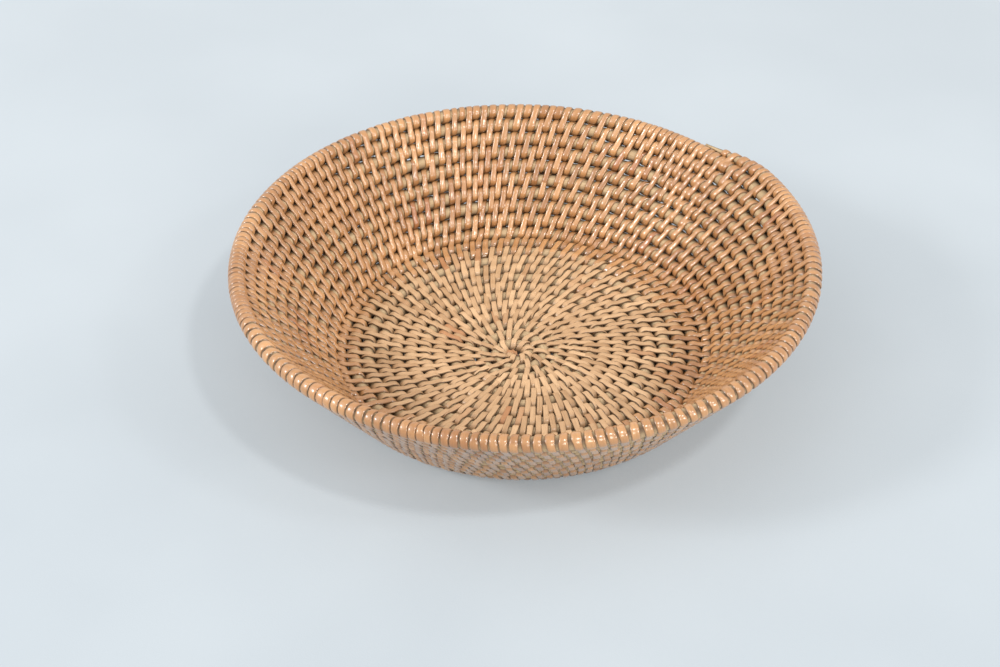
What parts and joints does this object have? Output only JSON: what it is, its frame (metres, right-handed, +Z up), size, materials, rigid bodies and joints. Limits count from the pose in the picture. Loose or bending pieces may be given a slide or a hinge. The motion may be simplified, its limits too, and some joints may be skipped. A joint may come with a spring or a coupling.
{
  "type": "coiled rattan basket",
  "caption": "Round coiled rattan basket with a flat floor and a straight flared wall, its core rods sewn turn to turn with peel strips, for holding fruit, bread or small things",
  "frame": {"origin": "centre of the basket's footprint box, on the surface it rests on", "axes": "+Z up out of the open bowl along the coil's axis; -Y is the side nearest the camera in the picture"},
  "size_m": [0.245, 0.2432, 0.0574],
  "materials": {
    "rattan_peel": "satin, natural peel",
    "rattan_core": "matt, bare cane"
  },
  "bodies": {
    "root": {"binding_01": "rattan_peel", "binding_02": "rattan_peel", "binding_03": "rattan_peel", "binding_04": "rattan_peel", "binding_05": "rattan_peel", "binding_06": "rattan_peel", "binding_07": "rattan_peel", "binding_08": "rattan_peel", "binding_09": "rattan_peel", "binding_10": "rattan_peel", "binding_11": "rattan_peel", "binding_12": "rattan_peel", "binding_13": "rattan_peel", "binding_14": "rattan_peel", "binding_15": "rattan_peel", "core_rod_1": "rattan_core", "core_rod_2": "rattan_core", "core_rod_3": "rattan_core", "core_rod_4": "rattan_core", "core_rod_5": "rattan_core"}
  },
  "joints": []
}
